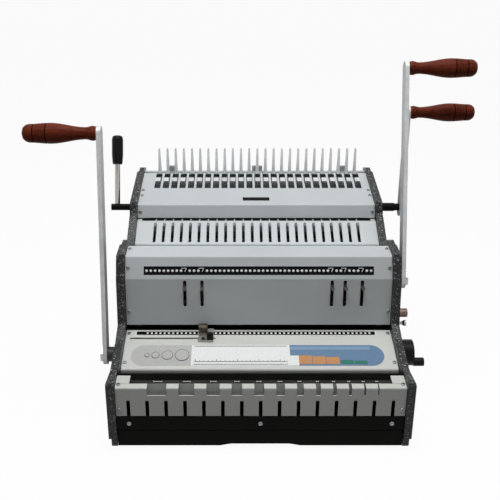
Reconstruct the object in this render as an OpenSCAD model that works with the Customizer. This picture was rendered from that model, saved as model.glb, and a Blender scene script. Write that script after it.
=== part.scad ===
// Comb and coil binding machine: a coil punch at the front, a comb punch behind it and a comb opener on top.
// Millimetres, +Z up, front towards -Y. The origin is on the bench, midway between front and back.

/* [Body] */
// Clear width between the two side plates
inner_w = 390; // [380:1:420]
// Thickness of a side plate
plate_t = 8; // [6:0.5:12]
// Thickness of the raised panel outside each side plate
panel_t = 5; // [3:0.5:7]
// Depth from the gauge tray's face to the back of the machine
body_d = 440; // [430:1:470]
// Height of the rubber feet
foot_h = 5; // [3:0.5:8]
// Sheet thickness of the covers
sheet_t = 1.5; // [1:0.1:2]
// Radius of the bends in the covers
bend_r = 4; // [2.5:0.5:6]

/* [Coil punch] */
// Pitch of the coil holes
coil_pitch = 6.2865; // [5:0.0005:6.4]
// Diameter of a coil punch
coil_pin_d = 4; // [3:0.1:4.4]
// Travel of the coil ram
coil_stroke = 12; // [10:0.5:13]

/* [Comb punch] */
// Pitch of the comb holes, prongs and hooks
comb_pitch = 14.2875; // [13:0.0005:14.5]
// Width of a comb punch
comb_hole_w = 8; // [6:0.1:9]
// Travel of the comb ram
comb_stroke = 7; // [5:0.5:7.5]

/* [Comb opener] */
// Height of the prongs above the opener cover
prong_h = 42; // [30:1:60]
// Width of a prong at its foot
prong_w = 6.3; // [5:0.1:7]
// Travel of the hook plate
hook_travel = 11; // [8:0.5:11.5]

/* [Handles] */
// Pivot to grip on the two punch handles
punch_arm_l = 320; // [250:1:340]
// Pivot to grip on the opener handle
opener_arm_l = 158; // [120:1:200]
// Width of the flat bar of a handle
arm_w = 20; // [16:1:26]
// Thickness of the flat bar of a handle
arm_t = 6; // [4:0.5:8]
// Length of a wooden grip
grip_l = 105.5; // [80:1:120]
// Largest diameter of a wooden grip
grip_d = 29; // [24:1:34]
// Diameter of a punch shaft
shaft_d = 16; // [12:0.5:18]
// Diameter of the opener's shaft
opener_shaft_d = 12; // [10:0.5:14]

/* [Front] */
// Height of the gauge tray's face
tray_h = 43; // [35:1:48]
// Pitch of the slots in the gauge tray
tray_slot_pitch = 25.4; // [22:0.1:25.4]
// Height of the chip drawer's front
drawer_h = 24; // [18:1:24]
// Depth of the chip drawer
drawer_d = 250; // [180:1:300]

/* [Fits] */
// Gap between a cover and a side plate
side_gap = 0.5; // [0.3:0.1:1]
// Radial running gap of a shaft in its bore
run_gap = 0.05; // [0.02:0.01:0.09]
// Radial gap of a punch in its hole
punch_gap = 0.3; // [0.2:0.05:0.4]
// Gap between sliding or turning faces
slide_gap = 0.4; // [0.3:0.1:0.8]

/* [Hidden] */

$fn = 48;
steel = "lightgrey";
silver = "gainsboro";
black = "dimgrey";
wood = "sienna";
eps = 0.01;

// Side view stations: distance behind the gauge tray's face, and height above the bench
table_front = [52, 95];
table_bend = [95, 112];
table_rear = [124, 120];
table_lip = 14;
cover_foot = [126, 128];
cover_mid = [133, 198];
cover_brow = [146, 229];
cover_rear = [180, 234];
cover_lip = 12;
comb_foot = [242, 212];
comb_top = [281, 238];
opener_foot = [291, 241];
opener_brow = [297, 262];
opener_top = [body_d - 40, 291];
prong_y = opener_top[0] + 4;
plate_front = 3;
coil_axis = [104, 91];
comb_axis = [193, 174];
opener_axis = [326, 249];
crank_axis = [124, 83];
knob_axis = [140, 141];
pin_axis = [140, 124];
coil_row_y = 149;
comb_row_y = 275;
rods = [[64, 56], [body_d - 45, 40], [body_d - 30, 250], [225, 120]];
rod_d = 10;

// Side to side places
tray_margin = 8;
nut_t = 3.6;
wall_x = inner_w / 2;
outer_x = wall_x + plate_t + panel_t;
coil_arm_x = outer_x + 13;
comb_arm_x = outer_x + 13;
opener_arm_x = comb_arm_x + arm_t + nut_t + 10.1;
// The opener's handle reaches further out, so the body stands this far left of the origin
middle_x = (coil_arm_x - opener_arm_x) / 2;
cover_w = inner_w - 2 * side_gap;
drive_x = wall_x - 12;
block_w = 2 * (drive_x - 10);
row_margin = 5;
coil_count = floor((block_w - 2 * row_margin) / coil_pitch);
comb_count = floor(block_w / comb_pitch);
tray_slot_count = floor((inner_w - tray_margin) / tray_slot_pitch);

// Heights in the two punches
coil_die_z = 106;
coil_die_t = 11;
coil_guide_z = 128;
coil_guide_t = 10;
coil_ram_z = 178;
coil_ram_h = 20;
coil_tip_z = coil_guide_z + 0.5;
comb_die_z = 182;
comb_die_t = 12;
comb_guide_z = 200;
comb_guide_t = 6;
comb_ram_z = 214;
comb_ram_h = 12;
comb_tip_z = comb_guide_z + 0.5;
comb_hole_d = 3.2;
handle_sweep = 90;
coil_throw = coil_stroke / 2;
comb_throw = comb_stroke * 0.6;
cam_wall = 3;
cam_t = 10;
cam_lead = 110;
pad_t = 8;
coil_lean = 11;
comb_lean = 16;
opener_lean = 1.5;
opener_sweep = 90;
slope = atan2(opener_top[1] - opener_brow[1], opener_top[0] - opener_brow[0]);
hook_count = comb_count + 1;
opener_row_x = 4;
hook_xs = [for (x = row(hook_count, comb_pitch)) x + opener_row_x];
prong_tip_w = 3.4;
prong_t = 2.5;
hook_t = 2;
drawer_wall = 1.5;
drawer_z = foot_h + 1;
rail_z = drawer_z + drawer_h + 1;
rail_h = 22;
tray_z = rail_z + rail_h + 1;
tray_top = tray_z + tray_h;
pull_xs = [87 - wall_x, 112 - wall_x, wall_x - 88, wall_x - 69, wall_x - 44];

function fy(v) = v - (body_d - plate_front) / 2;
function unit(v) = v / norm(v);
function normal(a, b) = let (u = unit(b - a)) [-u[1], u[0]];

// Points of an arc of radius r that rounds the corner b between a and c
function corner(a, b, c, r, steps = 5) =
    let (u = unit(a - b), w = unit(c - b), half = acos(u * w) / 2)
    let (centre = b + unit(u + w) * r / sin(half), run = r / tan(half))
    let (from = b + u * run - centre, to = b + w * run - centre)
    let (start = atan2(from[1], from[0]), turn = atan2(to[1], to[0]) - start)
    let (sweep = turn > 180 ? turn - 360 : turn < -180 ? turn + 360 : turn)
    [for (i = [0:steps]) centre + r * [cos(start + sweep * i / steps), sin(start + sweep * i / steps)]];

function bent(p, r) = concat(
    [p[0]],
    [for (i = [1:len(p) - 2]) each corner(p[i - 1], p[i], p[i + 1], r)],
    [p[len(p) - 1]]);

function rounded(p, r) = let (n = len(p))
    [for (i = [0:n - 1]) each corner(p[(i + n - 1) % n], p[i], p[(i + 1) % n], r)];

// The point of a path moved d to the left of it, with mitred corners
function beside(before, at, after, d) =
    let (n1 = normal(before, at), n2 = normal(at, after), m = unit(n1 + n2)) at + m * d / (m * n1);

function shifted(p, d) = let (n = len(p) - 1) concat(
    [p[0] + d * normal(p[0], p[1])],
    [for (i = [1:n - 1]) beside(p[i - 1], p[i], p[i + 1], d)],
    [p[n] + d * normal(p[n - 1], p[n])]);

function inset(p, d) = let (n = len(p))
    [for (i = [0:n - 1]) beside(p[(i + n - 1) % n], p[i], p[(i + 1) % n], d)];

function backwards(p) = [for (i = [len(p) - 1:-1:0]) p[i]];

// A side view outline, given a width across the machine
module across(points, w, x = 0) {
    translate([x - w / 2, fy(0), 0])
        rotate([90, 0, 90])
            linear_extrude(w)
                polygon(points);
}

// A bent sheet whose outer face follows the path
module sheet(path, w, r = bend_r) {
    outer = bent(path, r);
    across(concat(outer, backwards(shifted(outer, -sheet_t))), w);
}

module rod_x(at, d, x0, x1) {
    translate([x0, fy(at[0]), at[1]])
        rotate([0, 90, 0])
            cylinder(d = d, h = x1 - x0);
}

module block(x0, x1, y0, y1, z0, z1) {
    translate([x0, fy(y0), z0])
        cube([x1 - x0, y1 - y0, z1 - z0]);
}

// Places along a centred row
function row(count, pitch) = [for (i = [0:count - 1]) (i - (count - 1) / 2) * pitch];

// Side plates

plate_rim = 5;
plate_r = 6;

function plate_points() = [
    [-plate_front, foot_h], [-plate_front, tray_top + 10],
    table_front + [-8, plate_rim + 4], table_bend + [-2, plate_rim + 4],
    cover_foot + [-9, plate_rim], cover_mid + [-8, 0], cover_brow + [-6, plate_rim + 2],
    cover_rear + [4, plate_rim + 2], comb_foot + [-4, plate_rim], comb_top + [-2, plate_rim + 3],
    opener_foot + [-5, plate_rim + 4], opener_brow + [-5, plate_rim + 2], opener_top + [4, plate_rim + 2],
    [body_d - 14, opener_top[1] + 2], [body_d, opener_top[1] - 20], [body_d, foot_h]];

module side_plate(side) {
    outline = rounded(plate_points(), plate_r);
    panel = rounded(inset(plate_points(), -7), plate_r - 2);
    color(black) difference() {
        union() {
            across(outline, plate_t, side * (wall_x + plate_t / 2));
            across(panel, panel_t, side * (wall_x + plate_t + panel_t / 2));
        }
        for (bore = [[coil_axis, shaft_d], [comb_axis, shaft_d], [opener_axis, opener_shaft_d]])
            rod_x(bore[0], bore[1] + 2 * run_gap, side > 0 ? wall_x - 1 : -outer_x - 1,
                side > 0 ? outer_x + 1 : 1 - wall_x);
        if (side > 0)
            for (bore = [[crank_axis, crank_shaft_d], [knob_axis, knob_shaft_d], [pin_axis, pin_d]])
                rod_x(bore[0], bore[1] + 2 * run_gap, wall_x - 1, outer_x + 1);
    }
}

module left_side_plate() { side_plate(-1); }
module right_side_plate() { side_plate(1); }

module tie_rods() {
    color(steel) for (at = rods) rod_x(at, rod_d, -wall_x, wall_x);
}

foot_d = 18;
foot_in = 30;

module rubber_feet() {
    color(black) for (x = [-1, 1], y = [foot_in, body_d - foot_in])
        translate([x * (outer_x - panel_t - plate_t / 2 - foot_in), fy(y), 0])
            cylinder(d1 = foot_d - 3, d2 = foot_d, h = foot_h);
}

// Base, with the bay that the chip drawer slides into

base_t = 1.5;
base_front = 26;
base_z = foot_h;
drawer_back = drawer_d + 4;
base_wall_h = 12;

module base_pan() {
    color(black) {
        block(-wall_x, wall_x, base_front, body_d - 4, base_z, base_z + base_t);
        block(-wall_x, wall_x, body_d - 4, body_d - 4 + base_t, base_z, base_z + base_wall_h);
        block(-wall_x, wall_x, drawer_back, drawer_back + base_t, base_z + base_t, base_z + base_wall_h);
    }
}

module front_rail() {
    color(black) block(-wall_x, wall_x, 1, 19, rail_z, rail_z + rail_h);
}

rail_screw_d = 6;

module rail_screws() {
    color(steel) for (x = [-1, 0, 1])
        translate([x * (wall_x - 17), fy(1), rail_z + rail_h / 2])
            rotate([90, 0, 0])
                difference() {
                    cylinder(d = rail_screw_d, h = 1.8);
                    translate([-rail_screw_d, -0.5, 1])
                        cube([2 * rail_screw_d, 1, 1]);
                }
}

// Chip drawer: an open tray with a finger arch under its front

drawer_gap = 0.6;
arch_w = 110;
arch_rise = 6;
drawer_front_t = 6;
arch_depth = 4;

module chip_drawer() {
    half = wall_x - drawer_gap;
    floor_z = base_z + base_t + drawer_gap;
    arch_r = (arch_w * arch_w / 4 + arch_rise * arch_rise) / (2 * arch_rise);
    color(black) difference() {
        union() {
            block(-half, half, 1, 1 + drawer_front_t, drawer_z, drawer_z + drawer_h);
            difference() {
                block(-half, half, 1, drawer_d, floor_z, drawer_z + drawer_h - 2);
                block(drawer_wall - half, half - drawer_wall, 1 + drawer_front_t, drawer_d - drawer_wall,
                    floor_z + drawer_wall, drawer_z + drawer_h);
            }
        }
        translate([0, fy(0), drawer_z + arch_rise - arch_r])
            rotate([-90, 0, 0])
                cylinder(r = arch_r, h = 1 + arch_depth, $fn = 96);
    }
}

// Gauge tray: notches that size a comb along its top edge, and a row of open slots below

gauge_sizes = [26, 21, 17.5, 14, 13, 11.5, 9, 6.5, 5, 4, 2.5, 1.5];
gauge_gap = 16.2;
gauge_start = 43 - wall_x;
gauge_depth = 11.5;
tray_flange = 11;
tray_slot_w = 5;
tray_slot_h = 22;
tray_tab_w = 18;
tray_back_z = tray_z + 17;

function gauge_x(i) = gauge_start + sum_to(gauge_sizes, i) + i * gauge_gap;
function sum_to(list, n) = n == 0 ? 0 : list[n - 1] + sum_to(list, n - 1);

module gauge_tray() {
    color(silver) difference() {
        union() {
            sheet([[0, tray_z], [0, tray_top], [tray_flange, tray_top + 2], [tray_flange, tray_back_z]], cover_w, 2.5);
            for (side = [-1, 1])
                across([[tray_flange - 2, tray_top], [tray_flange + 14, tray_top + 3],
                    [tray_flange + 14, tray_top + 4.5], [tray_flange - 2, tray_top + 2]],
                    tray_tab_w, side * (cover_w - tray_tab_w) / 2);
        }
        for (i = [0:len(gauge_sizes) - 1])
            if (gauge_x(i) + gauge_sizes[i] < wall_x - tray_tab_w)
                translate([gauge_x(i), fy(-1), tray_top - gauge_depth])
                    cube([gauge_sizes[i], tray_flange - sheet_t + 1, gauge_depth + 5]);
        for (x = row(tray_slot_count, tray_slot_pitch)) {
            block(x - tray_slot_w / 2, x + tray_slot_w / 2, -1, 4, tray_z - 1, tray_z + tray_slot_h);
            translate([x, fy(-1), tray_z + tray_slot_h])
                rotate([-90, 0, 0])
                    cylinder(d = tray_slot_w, h = 5);
        }
    }
}

trough_z = 72;
trough_back = table_front[0] - 4;
trough_front = tray_flange + 2;
trough_lean = 2;
trough_lip = 9;

module trough_liner() {
    color(black) sheet([[trough_back, table_front[1] - 3], [trough_back - trough_lean, trough_z],
        [trough_front + trough_lip + trough_lean, trough_z], [trough_front + trough_lip, tray_top - 2],
        [trough_front - 1.5, tray_top - 2]], cover_w, 2.5);
}

// Coil paper table, with the slot that the edge guide runs in

guide_slot_y = 107;
guide_slot_w = 3;
guide_x = 118 - wall_x;
guide_w = 22;
guide_slot_x0 = 7 - wall_x;
guide_slot_x1 = guide_x + 14;

module coil_table() {
    color(silver) difference() {
        sheet([table_front - [0, table_lip], table_front, table_bend, table_rear], cover_w);
        block(guide_slot_x0, guide_slot_x1, guide_slot_y - guide_slot_w / 2, guide_slot_y + guide_slot_w / 2,
            table_bend[1] - 8, table_rear[1] + 8);
    }
}

// Coil cover, with a slot for each punch pull

pull_slot_w = 5;
pull_slot_z0 = 156;
pull_slot_z1 = 196;

module slot_through_front(x, w, z0, z1, y0, y1) {
    block(x - w / 2, x + w / 2, y0, y1, z0 + w / 2, z1 - w / 2);
    for (z = [z0 + w / 2, z1 - w / 2])
        translate([x, fy(y0), z])
            rotate([-90, 0, 0])
                cylinder(d = w, h = y1 - y0);
}

module coil_cover() {
    color(silver) difference() {
        sheet([cover_foot, cover_mid, cover_brow, cover_rear, cover_rear + [2, -cover_lip]], cover_w);
        for (x = pull_xs)
            slot_through_front(x, pull_slot_w, pull_slot_z0, pull_slot_z1, cover_foot[0] - 2, cover_mid[0] + 6);
    }
}

// Comb cover, with a slot for each comb punch lever

comb_slot_w = 4.6;

module comb_cover() {
    color(silver) difference() {
        sheet([comb_foot + [1, -8], comb_foot, comb_top, comb_top + [14, 1]], cover_w, 3);
        for (x = row(comb_count, comb_pitch))
            block(x - comb_slot_w / 2, x + comb_slot_w / 2, comb_foot[0] + 4, comb_top[0] - 3,
                comb_foot[1] - 6, comb_top[1] + 5);
    }
}

// Comb opener: a cover with an opening in front of each prong

opening_w = 10.6;
opening_y1 = opener_top[0] - 5;
opening_y0 = opening_y1 - 48;

// A point u behind the brow and v above the opener cover's top face
function on_slope(u, v) = opener_brow + u * [cos(slope), sin(slope)] + v * [-sin(slope), cos(slope)];

module opener_cover() {
    color(silver) difference() {
        sheet([opener_foot, opener_brow, opener_top, opener_top + [1, -12]], cover_w);
        for (x = hook_xs)
            block(x - opening_w / 2, x + opening_w / 2, opening_y0, opening_y1,
                opener_brow[1], opener_top[1] + 10);
    }
}

prong_bar_t = 8;
prong_bar_h = 26;
prong_bar_z = opener_top[1] - prong_bar_h;

module prong_bar() {
    color(steel) block(-wall_x, wall_x, prong_y, prong_y + prong_bar_t, prong_bar_z, prong_bar_z + prong_bar_h);
}

module comb_prongs() {
    foot = opener_top[1] - 6;
    tip = opener_top[1] + prong_h;
    color(steel) for (x = hook_xs)
        translate([x, fy(prong_y), 0])
            rotate([90, 0, 0])
                linear_extrude(prong_t)
                    polygon([[-prong_w / 2, foot], [prong_w / 2, foot], [prong_tip_w / 2, tip - 2],
                        [prong_tip_w / 2 - 1, tip], [1 - prong_tip_w / 2, tip], [-prong_tip_w / 2, tip - 2]]);
}

prong_block_w = 18;
prong_block_h = 9;
prong_block_x = (comb_count / 2 - 1.5) * comb_pitch;

module prong_blocks() {
    top = opener_top[1];
    color(steel) for (i = [-1, 0, 1])
        block(opener_row_x + i * prong_block_x - prong_block_w / 2,
            opener_row_x + i * prong_block_x + prong_block_w / 2, prong_y, prong_y + prong_bar_t, top, top + prong_block_h);
}

module rear_cover() {
    color(silver)
        sheet([[prong_y + 10, opener_top[1] - 3], [body_d - 13, opener_top[1] - 5],
            [body_d - 2, opener_top[1] - 24], [body_d - 2, base_z + base_wall_h + 2]], cover_w);
}

// Comb paper table, sloping down from the coil cover into the comb throat

comb_table_top = cover_rear + [9, -20];
comb_table_rear = [comb_foot[0] + 1, comb_die_z + comb_die_t + 1.5];

module comb_table() {
    color(steel) sheet([comb_table_top + [-3, 12], comb_table_top, comb_table_rear], cover_w);
}

// Dies and punch guides, notched at both ends for the ram legs

leg_w = 10;
leg_room = 2;

module punch_plate(y0, y1, leg_y0, leg_y1, z, t) {
    difference() {
        block(-wall_x, wall_x, y0, y1, z, z + t);
        for (side = [-1, 1])
            translate([side > 0 ? block_w / 2 : -wall_x - 1, fy(leg_y0 - leg_room), z - 1])
                cube([wall_x - block_w / 2 + 1, leg_y1 - leg_y0 + 2 * leg_room, t + 2]);
        children();
    }
}

coil_ram_d = 18;
coil_block_y0 = cover_foot[0] + 5;
coil_block_y1 = coil_row_y + 21;
coil_ram_y = coil_row_y - coil_ram_d / 2;

module coil_plate(z, t) {
    color(steel) punch_plate(coil_block_y0, coil_block_y1, coil_ram_y, coil_ram_y + coil_ram_d, z, t)
        for (x = row(coil_count, coil_pitch))
            translate([x, fy(coil_row_y), z - 1])
                cylinder(d = coil_pin_d + 2 * punch_gap, h = t + 2);
}

module coil_die_plate() { coil_plate(coil_die_z, coil_die_t); }
module coil_guide_plate() { coil_plate(coil_guide_z, coil_guide_t); }

comb_ram_d = 18;
comb_block_y0 = comb_foot[0] + 4;
comb_block_y1 = comb_row_y + 27;
comb_ram_y = comb_row_y - comb_ram_d / 2;

module comb_plate(z, t) {
    color(steel) punch_plate(comb_block_y0, comb_block_y1, comb_ram_y, comb_ram_y + comb_ram_d, z, t)
        for (x = row(comb_count, comb_pitch))
            block(x - comb_hole_w / 2 - punch_gap, x + comb_hole_w / 2 + punch_gap,
                comb_row_y - comb_hole_d / 2 - punch_gap, comb_row_y + comb_hole_d / 2 + punch_gap,
                z - 1, z + t + 1);
}

module comb_die_plate() { comb_plate(comb_die_z, comb_die_t); }
module comb_guide_plate() { comb_plate(comb_guide_z, comb_guide_t); }

// Rams: a bar with a leg at each end whose foot lies under a cam

function cam_r(throw) = shaft_d / 2 + throw + cam_wall;
function pad_top(axis, throw) = axis[1] - cam_r(throw) - throw * cos(cam_lead) - slide_gap;

module ram(axis, throw, y0, d, z, h) {
    foot = pad_top(axis, throw);
    color(steel) {
        block(-drive_x - leg_w / 2, drive_x + leg_w / 2, y0, y0 + d, z, z + h);
        for (side = [-1, 1])
            across([[y0, z + eps], [y0, foot], [axis[0] - 10, foot], [axis[0] - 10, foot - pad_t],
                [y0 + d, foot - pad_t], [y0 + d, z + eps]], leg_w, side * drive_x);
    }
}

module coil_ram() { ram(coil_axis, coil_throw, coil_ram_y, coil_ram_d, coil_ram_z, coil_ram_h); }
module comb_ram() { ram(comb_axis, comb_throw, comb_ram_y, comb_ram_d, comb_ram_z, comb_ram_h); }

module coil_punches() {
    color(steel) for (x = row(coil_count, coil_pitch))
        translate([x, fy(coil_row_y), coil_tip_z])
            cylinder(d = coil_pin_d, h = coil_ram_z - coil_tip_z);
}

module comb_punches() {
    color(steel) for (x = row(comb_count, comb_pitch))
        block(x - comb_hole_w / 2, x + comb_hole_w / 2,
            comb_row_y - comb_hole_d / 2, comb_row_y + comb_hole_d / 2, comb_tip_z, comb_ram_z);
}

comb_lever_t = 3;

module comb_punch_levers() {
    z = comb_ram_z + comb_ram_h;
    color(steel) for (x = row(comb_count, comb_pitch))
        across([[comb_row_y - 8, z], [comb_row_y, z], [comb_row_y, z + 12], [comb_row_y - 3, z + 13],
            [comb_row_y - 8, z + 9]], comb_lever_t, x);
}

// Pulls that take single coil punches out of use

pull_d = 4;
pull_knob_d = 5;
pull_knob_l = 9;
pull_z = coil_ram_z + coil_ram_h / 2;
pull_tip_y = cover_foot[0] - 7;

module coil_pull(i) {
    color(steel) translate([pull_xs[i], fy(pull_tip_y), pull_z])
        rotate([-90, 0, 0]) {
            cylinder(d = pull_d, h = coil_ram_y - 0.3 - pull_tip_y);
            cylinder(d = pull_knob_d, h = pull_knob_l);
        }
}

module coil_pull_1() { coil_pull(0); }
module coil_pull_2() { coil_pull(1); }
module coil_pull_3() { coil_pull(2); }
module coil_pull_4() { coil_pull(3); }
module coil_pull_5() { coil_pull(4); }

// Shafts, cams and handles

hub_d = 22;
nut_d = 24;

module punch_shaft(axis, side, x) {
    color(steel) {
        rod_x(axis, shaft_d, side > 0 ? -wall_x - plate_t : -x - arm_t - nut_t,
            side > 0 ? x + arm_t + nut_t : wall_x + plate_t);
        rod_x(axis, hub_d, side > 0 ? outer_x + slide_gap : -x, side > 0 ? x : -outer_x - slide_gap);
    }
}

// A cam starts with its long side forward and a little up, and turns it down as the handle comes forward
module cams(axis, throw) {
    centre = axis + throw * [-sin(cam_lead), -cos(cam_lead)];
    color(steel) for (x = [-drive_x, drive_x])
        difference() {
            rod_x(centre, 2 * cam_r(throw), x - cam_t / 2, x + cam_t / 2);
            rod_x(axis, shaft_d + 2 * run_gap, x - cam_t, x + cam_t);
        }
}

// A flat bar with round ends, from its pivot to its grip, leaning back
module arm(axis, length, lean, bore, x) {
    color(steel) translate([x, fy(axis[0]), axis[1]])
        rotate([-lean, 0, 0])
            difference() {
                union() {
                    translate([0, -arm_w / 2, -arm_w / 4])
                        cube([arm_t, arm_w, length + arm_w / 4]);
                    for (z = [-arm_w / 4, length])
                        translate([0, 0, z])
                            rotate([0, 90, 0])
                                cylinder(d = arm_w, h = arm_t);
                }
                translate([-1, 0, 0])
                    rotate([0, 90, 0])
                        cylinder(d = bore + 2 * run_gap, h = arm_t + 2);
            }
}

module hex_nut(axis, bore, x) {
    color(steel) translate([x, fy(axis[0]), axis[1]])
        rotate([0, 90, 0])
            difference() {
                cylinder(d = nut_d, h = nut_t, $fn = 6);
                translate([0, 0, -1])
                    cylinder(d = bore + 2 * run_gap, h = nut_t + 2);
            }
}

// Turned grip: a flared collar, a neck, a long swell and a domed end with two grooves

flare_a = 6;
neck_a = 15;
swell_a = 0.62 * grip_l;
dome_l = 12;
dome_a = grip_l - dome_l;
neck_r = 8.5;
flare_r = 10.5;
end_drop = 1.5;
groove_as = [0.66 * grip_l, 0.83 * grip_l];

function ease(t) = (1 - cos(180 * t)) / 2;
function grip_r(a) =
    a < neck_a ? neck_r + (flare_r - neck_r) * (1 - ease(abs(a - flare_a) / (neck_a - flare_a))) :
    a < swell_a ? neck_r + (grip_d / 2 - neck_r) * ease((a - neck_a) / (swell_a - neck_a)) :
    a < dome_a ? grip_d / 2 - end_drop * ease((a - swell_a) / (dome_a - swell_a)) :
    (grip_d / 2 - end_drop) * sqrt(max(0, 1 - pow((a - dome_a) / dome_l, 2)));

module grip(axis, length, lean, x, side) {
    steps = 34;
    color(wood) translate([x, fy(axis[0]) + length * sin(lean), axis[1] + length * cos(lean)])
        rotate([0, side * 90, 0])
            difference() {
                rotate_extrude()
                    polygon(concat([[0, 0]],
                        [for (i = [0:steps - 1]) [grip_r(grip_l * i / steps), grip_l * i / steps]],
                        [[0, grip_l]]));
                for (a = groove_as)
                    translate([0, 0, a])
                        rotate_extrude()
                            translate([grip_r(a), 0])
                                circle(r = 1, $fn = 16);
            }
}

module coil_shaft() { punch_shaft(coil_axis, -1, coil_arm_x); }
module coil_cams() { cams(coil_axis, coil_throw); }
module coil_arm() { arm(coil_axis, punch_arm_l, coil_lean, shaft_d, -coil_arm_x - arm_t); }
module coil_nut() { hex_nut(coil_axis, shaft_d, -coil_arm_x - arm_t - nut_t); }
module coil_grip() { grip(coil_axis, punch_arm_l, coil_lean, -coil_arm_x - arm_t, -1); }
module comb_shaft() { punch_shaft(comb_axis, 1, comb_arm_x); }
module comb_cams() { cams(comb_axis, comb_throw); }
module comb_arm() { arm(comb_axis, punch_arm_l, comb_lean, shaft_d, comb_arm_x); }
module comb_nut() { hex_nut(comb_axis, shaft_d, comb_arm_x + arm_t); }
module comb_grip() { grip(comb_axis, punch_arm_l, comb_lean, comb_arm_x + arm_t, 1); }

// Comb opener drive: the shaft is a small crank at two places, and a fork on the hook plate straddles each pin

crank_xs = [45 - wall_x, wall_x - 45];
crank_r = hook_travel / (2 * sin(opener_sweep / 2));
crank_pin_d = 5;
crank_web_t = 4;
crank_gap_w = 6;
fork_t = 3;
fork_room = 0.8;
fork_wall = 3;
collar_d = 14;

function opener_pin() = opener_axis + crank_r * [sin(opener_sweep / 2), cos(opener_sweep / 2)];

module opener_shaft() {
    pin = opener_pin();
    color(black) {
        difference() {
            union() {
                rod_x(opener_axis, opener_shaft_d, -wall_x - plate_t / 2, opener_arm_x + arm_t);
                rod_x(opener_axis, collar_d, outer_x + slide_gap, opener_arm_x - 8);
                for (x = crank_xs)
                    rod_x(opener_axis, 2 * crank_r + crank_pin_d + 1, x - crank_gap_w / 2 - crank_web_t,
                        x + crank_gap_w / 2 + crank_web_t);
            }
            for (x = crank_xs)
                rod_x(opener_axis, 4 * crank_r, x - crank_gap_w / 2, x + crank_gap_w / 2);
        }
        for (x = crank_xs)
            rod_x(pin, crank_pin_d, x - crank_gap_w / 2 - 1, x + crank_gap_w / 2 + 1);
    }
}

module opener_arm() { arm(opener_axis, opener_arm_l, opener_lean, opener_shaft_d, opener_arm_x); }
module opener_grip() { grip(opener_axis, opener_arm_l, opener_lean, opener_arm_x + arm_t, 1); }

fork_half = crank_pin_d / 2 + fork_room;
hook_plate_u0 = (opener_pin()[0] - fork_half - fork_wall - opener_brow[0]) / cos(slope) - 1;
hook_plate_u1 = norm(opener_top - opener_brow) - 11;
hook_plate_v = -5.5;
hook_u = hook_plate_u1 - 29;
hook_h = 5;
hook_w = 8.3;
hook_reach = 12;

// Height at y of a line v above the opener cover's top face
function slope_z(y, v) = opener_brow[1] + (y - opener_brow[0]) * tan(slope) + v / cos(slope);

module hook_plate() {
    pin = opener_pin();
    top = hook_plate_v + hook_t;
    low = opener_axis[1] + 3;
    root = hook_plate_v + hook_t / 2;
    color(steel) {
        across([on_slope(hook_plate_u0, hook_plate_v), on_slope(hook_plate_u1, hook_plate_v),
            on_slope(hook_plate_u1, top), on_slope(hook_plate_u0, top)], inner_w - 2 * slide_gap);
        for (x = crank_xs, y = [pin[0] - fork_half - fork_wall, pin[0] + fork_half])
            across([[y, low], [y + fork_wall, low], [y + fork_wall, slope_z(y + fork_wall, root)],
                [y, slope_z(y, root)]], fork_t, x);
    }
}

// Each hook is a wide tab bent back at its top
module comb_hooks() {
    foot = hook_plate_v + hook_t;
    under = hook_h - hook_t;
    color(steel) for (x = hook_xs)
        across([on_slope(hook_u, foot), on_slope(hook_u + hook_t, foot), on_slope(hook_u + hook_t, under),
            on_slope(hook_u + hook_reach, under), on_slope(hook_u + hook_reach, hook_h), on_slope(hook_u, hook_h)],
            hook_w, x);
}

// Stop lever on the left, on its own stub in line with the opener's shaft

stop_x = -outer_x - 25;
stop_lean = 20;
stop_bar_d = 11;
stop_rod_d = 8.5;
stop_rod_l = 72;
stop_grip_l = 48;

module stop_stub() {
    color(black) {
        rod_x(opener_axis, opener_shaft_d, -outer_x - slide_gap - 1, -wall_x - plate_t / 2 - slide_gap);
        rod_x(opener_axis, stop_bar_d, stop_x - 10, -outer_x - slide_gap);
    }
}

// Up the lever from its pivot, leaning back
module up_lever(along) {
    translate([stop_x, fy(opener_axis[0]), opener_axis[1]])
        rotate([-stop_lean, 0, 0])
            translate([0, 0, along])
                children();
}

module stop_rod() {
    color(steel) up_lever(stop_bar_d / 2)
        cylinder(d = stop_rod_d, h = stop_rod_l - stop_bar_d / 2);
}

module stop_grip() {
    color(black) up_lever(stop_rod_l)
        rotate_extrude()
            polygon([[0, 0], [7.4, 0], [8.4, 2.5], [9.4, 16], [9.4, stop_grip_l - 6], [8.2, stop_grip_l - 1.5],
                [5.5, stop_grip_l], [0, stop_grip_l]]);
}

// Edge guides

lead_screw_d = 8;
lead_screw_end = slide_gap - wall_x;
crank_shaft_d = lead_screw_d;
guide_stem_t = 2.2;
guide_nut_w = 12;
guide_nut_r = 7;
guide_h = 15;
guide_foot_l = 8;
guide_foot_z = slide_gap + 3;
guide_block_w = 13;
guide_block_d = 7;
guide_knob_d = 10;
guide_knob_h = 7;
guide_cap_d = 6;
guide_cap_h = 1.5;
guide_arm_t = 4;
guide_arm_room = 2;
guide_arm_z = coil_axis[1] + shaft_d / 2 + guide_arm_room;

function table_z(y) =
    table_bend[1] + (y - table_bend[0]) * (table_rear[1] - table_bend[1]) / (table_rear[0] - table_bend[0]);

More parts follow.
